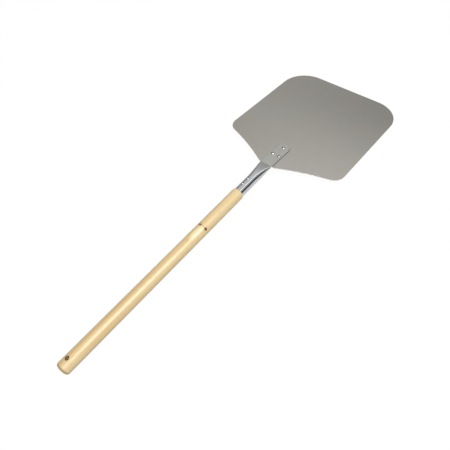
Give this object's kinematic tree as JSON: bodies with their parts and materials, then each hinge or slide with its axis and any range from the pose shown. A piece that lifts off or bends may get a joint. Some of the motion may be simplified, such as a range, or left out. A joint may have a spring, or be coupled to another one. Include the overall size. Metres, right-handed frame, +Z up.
{
  "type": "pizza peel",
  "caption": "Long-handled pizza peel: wide flat metal blade with rounded front corners, riveted tube socket and round wooden handle with a hanging hole.",
  "frame": {"origin": "on the table under the middle of the peel's bounding box, with the peel lying on the front edge of its blade and the butt of its handle", "axes": "+Y from the butt of the handle towards the front of the blade, +Z up from the table, +X across the blade"},
  "size_m": [0.3556, 1.064, 0.0401],
  "materials": {
    "blade": "satin rolled sheet, faintly scuffed",
    "socket": "polished tube, duller where it is pressed flat",
    "rivets": "bright set rivet heads",
    "handle": "pale turned softwood with knots, clear satin lacquer"
  },
  "bodies": {
    "root": {"blade": "blade", "socket": "socket", "handle": "handle", "tang_rivet_front": "rivets", "tang_rivet_left": "rivets", "tang_rivet_right": "rivets", "socket_rivet_front": "rivets", "socket_rivet_rear": "rivets"}
  },
  "joints": []
}
